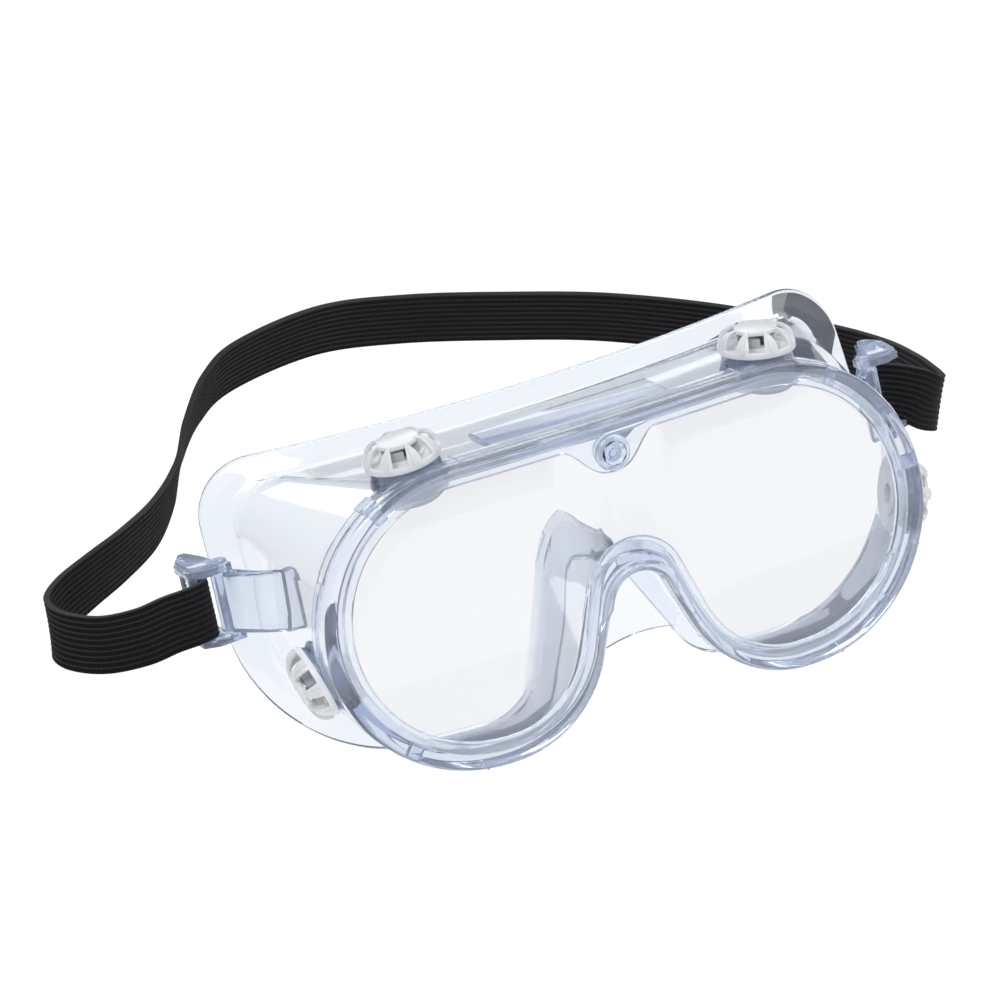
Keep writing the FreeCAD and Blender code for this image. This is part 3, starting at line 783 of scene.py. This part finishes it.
def strapTree():
    # ribbed webbing drawn along a path; ribs run its whole length
    tree = bpy.data.node_groups.new("ribbedStrap", "GeometryNodeTree")
    new = tree.interface.new_socket
    new("Geometry", in_out="INPUT", socket_type="NodeSocketGeometry")
    for label, value in (("Width", 0.0145), ("Thickness", 0.0012), ("Rib Height", 0.0001), ("Ribs", 10.0)):
        new(label, in_out="INPUT", socket_type="NodeSocketFloat").default_value = value
    new("Material", in_out="INPUT", socket_type="NodeSocketMaterial")
    new("Geometry", in_out="OUTPUT", socket_type="NodeSocketGeometry")
    link = tree.links.new

    def math2(op, a, b, place=(0, 0)):
        node = addNode(tree, "ShaderNodeMath", place, operation=op)
        for slotNumber, value in ((0, a), (1, b)):
            if value is None:
                continue
            if isinstance(value, (int, float)):
                node.inputs[slotNumber].default_value = value
            else:
                link(value, node.inputs[slotNumber])
        return node.outputs[0]

    start = addNode(tree, "NodeGroupInput", (-1400, 0))
    end = addNode(tree, "NodeGroupOutput", (1200, 0))
    flat = addNode(tree, "GeometryNodeCurvePrimitiveQuadrilateral", (-1100, -200))
    link(start.outputs["Width"], flat.inputs["Width"])
    link(start.outputs["Thickness"], flat.inputs["Height"])
    fine = addNode(tree, "GeometryNodeResampleCurve", (-900, -200))
    fine.inputs["Count"].default_value = 180
    link(flat.outputs["Curve"], fine.inputs["Curve"])
    spot = addNode(tree, "GeometryNodeInputPosition", (-1100, -500))
    parts = addNode(tree, "ShaderNodeSeparateXYZ", (-900, -500))
    link(spot.outputs[0], parts.inputs[0])
    share = math2("DIVIDE", parts.outputs["X"], start.outputs["Width"])
    turns = math2("MULTIPLY", share, start.outputs["Ribs"])
    wave = math2("COSINE", math2("MULTIPLY", turns, 2 * math.pi), None)
    height = math2("ADD", math2("MULTIPLY", wave, 0.5), 0.5)
    rise = math2("MULTIPLY", math2("MULTIPLY", height, start.outputs["Rib Height"]),
                 math2("SIGN", parts.outputs["Y"], None))
    move = addNode(tree, "ShaderNodeCombineXYZ", (-300, -400))
    link(rise, move.inputs["Y"])
    shape = addNode(tree, "GeometryNodeSetPosition", (-100, -250))
    link(fine.outputs["Curve"], shape.inputs["Geometry"])
    link(move.outputs[0], shape.inputs["Offset"])

    def store(geometry, label, value, place):
        node = addNode(tree, "GeometryNodeStoreNamedAttribute", place, data_type="FLOAT", domain="POINT")
        node.inputs["Name"].default_value = label
        link(geometry, node.inputs["Geometry"])
        link(value, node.inputs["Value"])
        return node.outputs["Geometry"]

    profile = store(shape.outputs[0], "acrossStrap", parts.outputs["X"], (100, -250))
    profile = store(profile, "ribHeight", height, (300, -250))
    length = addNode(tree, "GeometryNodeSplineParameter", (-1100, 300))
    path = store(start.outputs["Geometry"], "alongStrap", length.outputs["Length"], (-100, 200))
    sweep = addNode(tree, "GeometryNodeCurveToMesh", (550, 0))
    sweep.inputs["Fill Caps"].default_value = True
    link(path, sweep.inputs["Curve"])
    link(profile, sweep.inputs["Profile Curve"])
    real = addNode(tree, "GeometryNodeRealizeInstances", (750, 0))
    link(sweep.outputs[0], real.inputs[0])
    paint = addNode(tree, "GeometryNodeSetMaterial", (950, 0))
    link(real.outputs[0], paint.inputs["Geometry"])
    link(start.outputs["Material"], paint.inputs["Material"])
    link(paint.outputs[0], end.inputs["Geometry"])
    return tree


def strapHalf(name, points, tree):
    curve = bpy.data.curves.new(name + "Path", "CURVE")
    curve.dimensions = "3D"
    curve.twist_mode = "Z_UP"
    spline = curve.splines.new("POLY")
    spline.points.add(len(points) - 1)
    for point, row in zip(spline.points, points):
        point.co = (row[0] * mm, row[1] * mm, row[2] * mm, 1)
        point.tilt = math.radians(90 + row[3])
    path = bpy.data.objects.new(name + "Path", curve)
    bpy.context.scene.collection.objects.link(path)
    modifier = path.modifiers.new("webbing", "NODES")
    modifier.node_group = tree
    for label, value in (("Width", strap["width"] * mm), ("Thickness", strap["thick"] * mm),
                         ("Rib Height", strap["ribHeight"] * mm), ("Ribs", float(strap["ribs"])),
                         ("Material", strapElastic)):
        setInput(modifier, label, value)
    bpy.context.view_layer.update()
    graph = bpy.context.evaluated_depsgraph_get()
    mesh = bpy.data.meshes.new_from_object(path.evaluated_get(graph))
    mesh.name = name
    bpy.data.objects.remove(path)
    obj = bpy.data.objects.new(name, mesh)
    bpy.context.scene.collection.objects.link(obj)
    turnOutwards(obj)
    smoothUnder(obj, 50)
    return obj


webbing = strapTree()
allPoints = routePoints()
cut = min(range(len(allPoints)), key=lambda i: math.dist(allPoints[i][:2], strap["joint"]))
leftStrap = strapHalf("strapLeft", allPoints[:cut + 1], webbing)
rightStrap = strapHalf("strapRight", allPoints[cut:], webbing)
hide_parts("strap_end_left", "strap_main")
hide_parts("strap_end_right", "strap_main")
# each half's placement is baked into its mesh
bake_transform(leftStrap)
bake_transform(rightStrap)
print("strap laid")


# ---- floor, light and camera

studio = {
    "floorSize": 8.0, "floorZ": -0.0006, "floorGlow": 0.97,
    "target": Vector((0, 0, 0.040)), "azimuth": -19.5, "elevation": 17.0, "roll": -11.93,
    "distance": 1.8, "lens": 267.6, "aim": (-0.0328, 0.0149),
}


def makeFloor():
    half = studio["floorSize"] / 2
    z = studio["floorZ"]
    verts = [(-half, -half, z), (half, -half, z), (half, half, z), (-half, half, z)]
    floor = newObject("floor", verts, [(0, 1, 2, 3)], False)
    material = bpy.data.materials.new("paleFloor")
    material.use_nodes = True
    skin = material.node_tree.nodes["Principled BSDF"]
    skin.inputs["Base Color"].default_value = (0.08, 0.08, 0.08, 1)
    skin.inputs["Roughness"].default_value = 0.9
    skin.inputs["Specular IOR Level"].default_value = 0.0
    skin.inputs["Emission Color"].default_value = (1, 1, 1, 1)
    skin.inputs["Emission Strength"].default_value = studio["floorGlow"]
    setMaterial(floor, material)


def makeWorld():
    world = bpy.data.worlds.new("studio")
    bpy.context.scene.world = world
    world.use_nodes = True
    tree = world.node_tree
    glow = tree.nodes["Background"]
    place = addNode(tree, "ShaderNodeTexCoord", (-900, 0))
    parts = addNode(tree, "ShaderNodeSeparateXYZ", (-700, 0))
    tree.links.new(place.outputs["Generated"], parts.inputs[0])
    ramp = addNode(tree, "ShaderNodeValToRGB", (-450, 0))
    shades = [(0.0, (0.7, 0.72, 0.75, 1)), (0.48, (0.22, 0.26, 0.34, 1)), (0.505, (0.006, 0.015, 0.06, 1)),
              (0.66, (0.012, 0.028, 0.09, 1)), (0.77, (0.34, 0.38, 0.44, 1)), (1.0, (0.92, 0.93, 0.95, 1))]
    while len(ramp.color_ramp.elements) < len(shades):
        ramp.color_ramp.elements.new(0.5)
    for element, (at, color) in zip(ramp.color_ramp.elements, shades):
        element.position = at
        element.color = color
    spread = addNode(tree, "ShaderNodeMapRange", (-600, -200))
    spread.inputs["From Min"].default_value = -1.0
    tree.links.new(parts.outputs["Z"], spread.inputs["Value"])
    tree.links.new(spread.outputs["Result"], ramp.inputs["Fac"])
    tree.links.new(ramp.outputs["Color"], glow.inputs["Color"])
    glow.inputs["Strength"].default_value = 0.9


def softbox(name, place, aim, size, watts):
    data = bpy.data.lights.new(name, "AREA")
    data.shape = "RECTANGLE"
    data.size, data.size_y = size
    data.energy = watts
    lamp = bpy.data.objects.new(name, data)
    bpy.context.scene.collection.objects.link(lamp)
    lamp.location = place
    lamp.rotation_mode = "QUATERNION"
    lamp.rotation_quaternion = (Vector(aim) - Vector(place)).to_track_quat("-Z", "Y")


def makeCamera():
    a, e, r = (math.radians(studio[key]) for key in ("azimuth", "elevation", "roll"))
    back = Vector((math.sin(a) * math.cos(e), -math.cos(a) * math.cos(e), math.sin(e)))
    level = Vector((math.cos(a), math.sin(a), 0))
    up = back.cross(level)
    right = level * math.cos(r) + up * math.sin(r)
    top = up * math.cos(r) - level * math.sin(r)
    place = studio["target"] + back * studio["distance"]
    aim = studio["target"] + right * studio["aim"][0] + top * studio["aim"][1]
    backward = (place - aim).normalized()
    right = top.cross(backward).normalized()
    top = backward.cross(right)
    data = bpy.data.cameras.new("camera")
    data.lens = studio["lens"]
    data.sensor_width = 36
    data.clip_start, data.clip_end = 0.05, 30
    camera = bpy.data.objects.new("camera", data)
    bpy.context.scene.collection.objects.link(camera)
    camera.matrix_world = Matrix((
        (right.x, top.x, backward.x, place.x), (right.y, top.y, backward.y, place.y),
        (right.z, top.z, backward.z, place.z), (0, 0, 0, 1)))
    bpy.context.scene.camera = camera


makeFloor()
makeWorld()
softbox("key", (-0.7, -0.9, 1.3), (0, 0.04, 0.03), (0.9, 0.9), 13)
softbox("fill", (0.9, -0.3, 0.9), (0, 0.04, 0.03), (0.6, 0.9), 5)
softbox("back", (0.1, 1.2, 1.0), (0, 0.06, 0.04), (1.2, 0.5), 5)
makeCamera()
view = bpy.context.scene.view_settings
view.view_transform = "Standard"
view.look = "None"
cycles = bpy.context.scene.cycles
cycles.transmission_bounces = 16
cycles.transparent_max_bounces = 16
cycles.max_bounces = 18
print("studio set")
